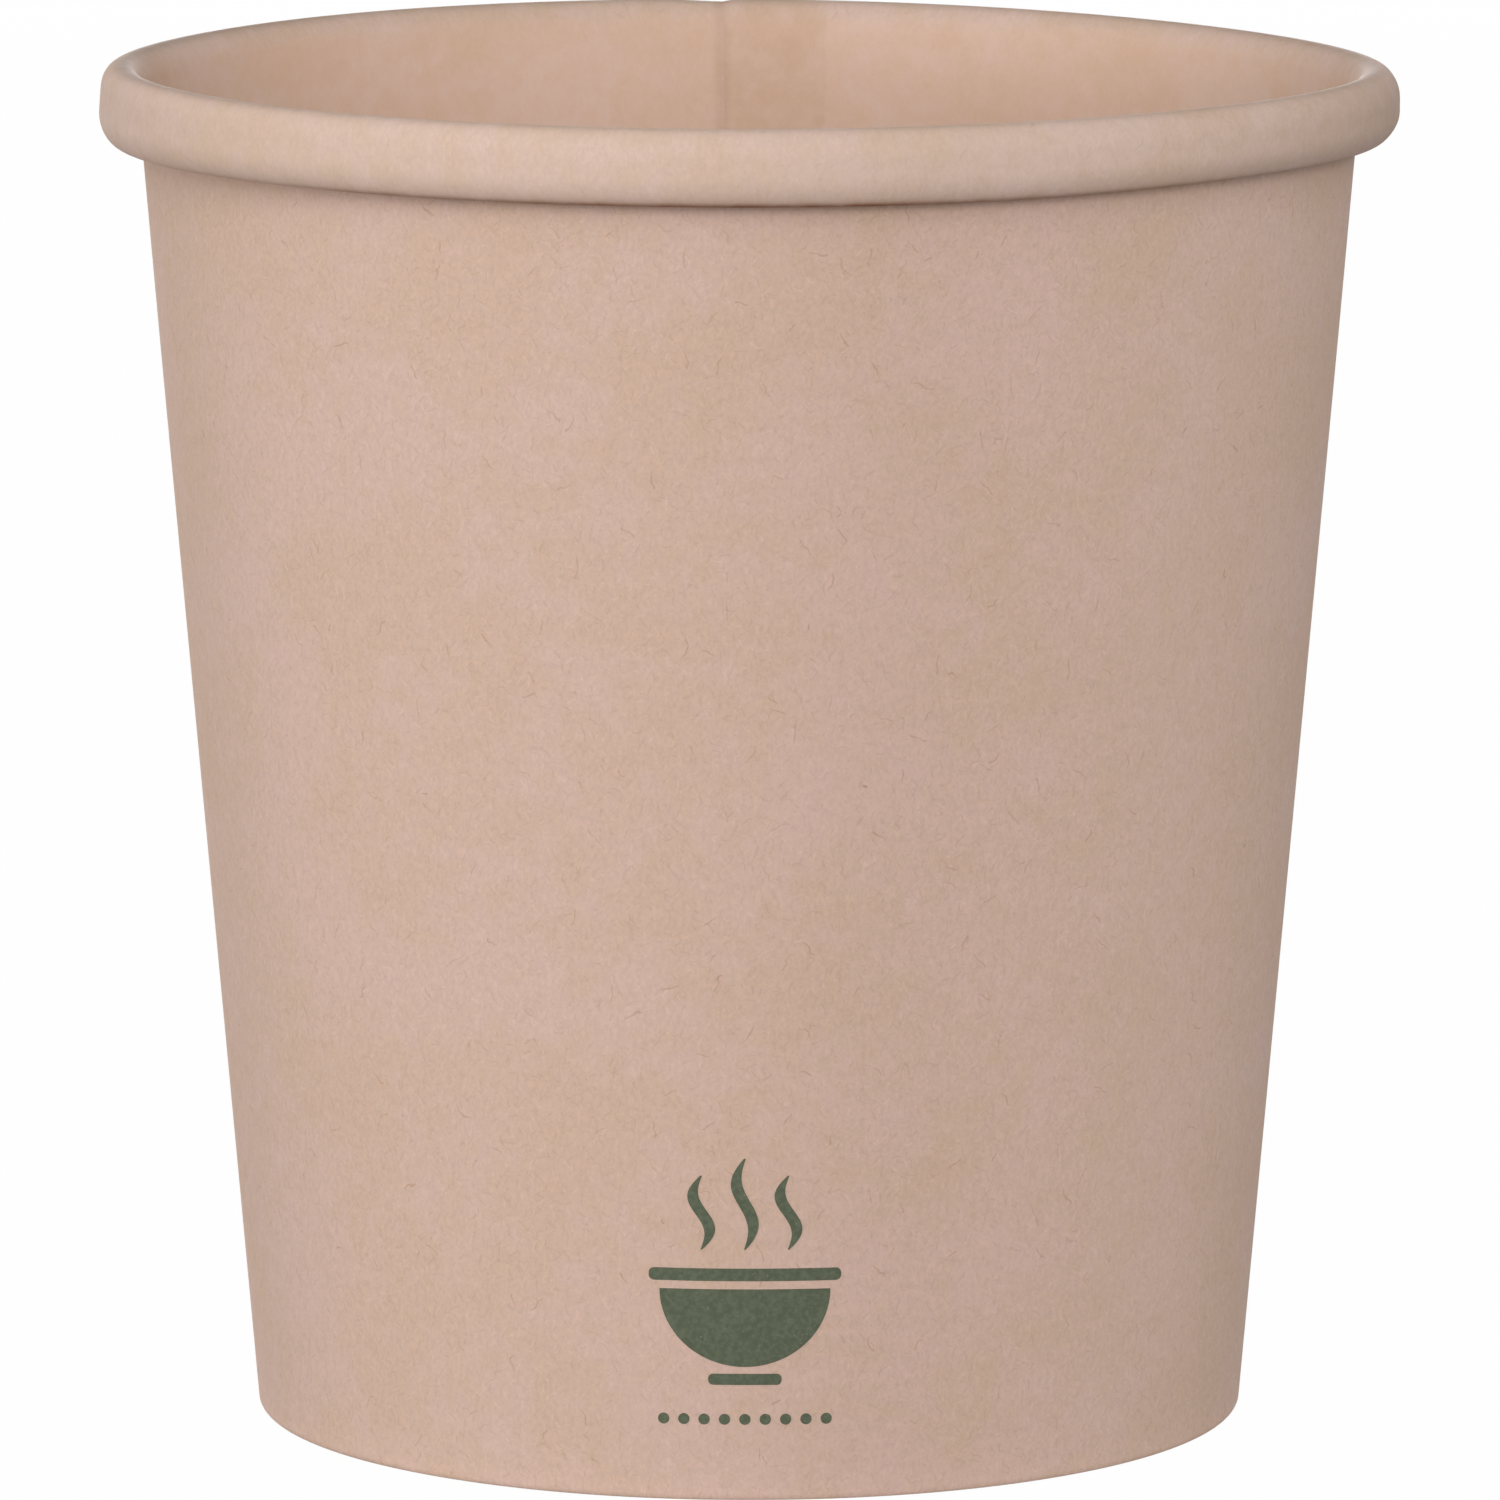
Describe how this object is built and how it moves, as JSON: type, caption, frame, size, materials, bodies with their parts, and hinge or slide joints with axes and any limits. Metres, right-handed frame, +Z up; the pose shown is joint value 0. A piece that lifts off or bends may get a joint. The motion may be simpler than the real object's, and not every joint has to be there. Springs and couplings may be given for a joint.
{
  "type": "paper soup cup",
  "caption": "Tapered paper cup for hot soup, with a rolled rim, a lapped side seam and a recessed base, coated with film on the inside.",
  "frame": {"origin": "on the table, at the middle of the foot", "axes": "+Z up along the cup's axis, -Y towards the viewer of the picture, with the side seam at the back, +Y"},
  "size_m": [0.098, 0.098, 0.1027],
  "materials": {
    "wall_board": "unbleached tan paperboard with fine fibres, matt",
    "wall_film": "thin clear film on tan paperboard, satin",
    "base_board": "unbleached tan paperboard with fine fibres, matt",
    "base_film": "thin clear film on tan paperboard, satin"
  },
  "bodies": {
    "root": {"side_wall": "wall_board", "side_wall_lining": "wall_film", "base_disc": "base_board", "base_lining": "base_film"}
  },
  "joints": []
}
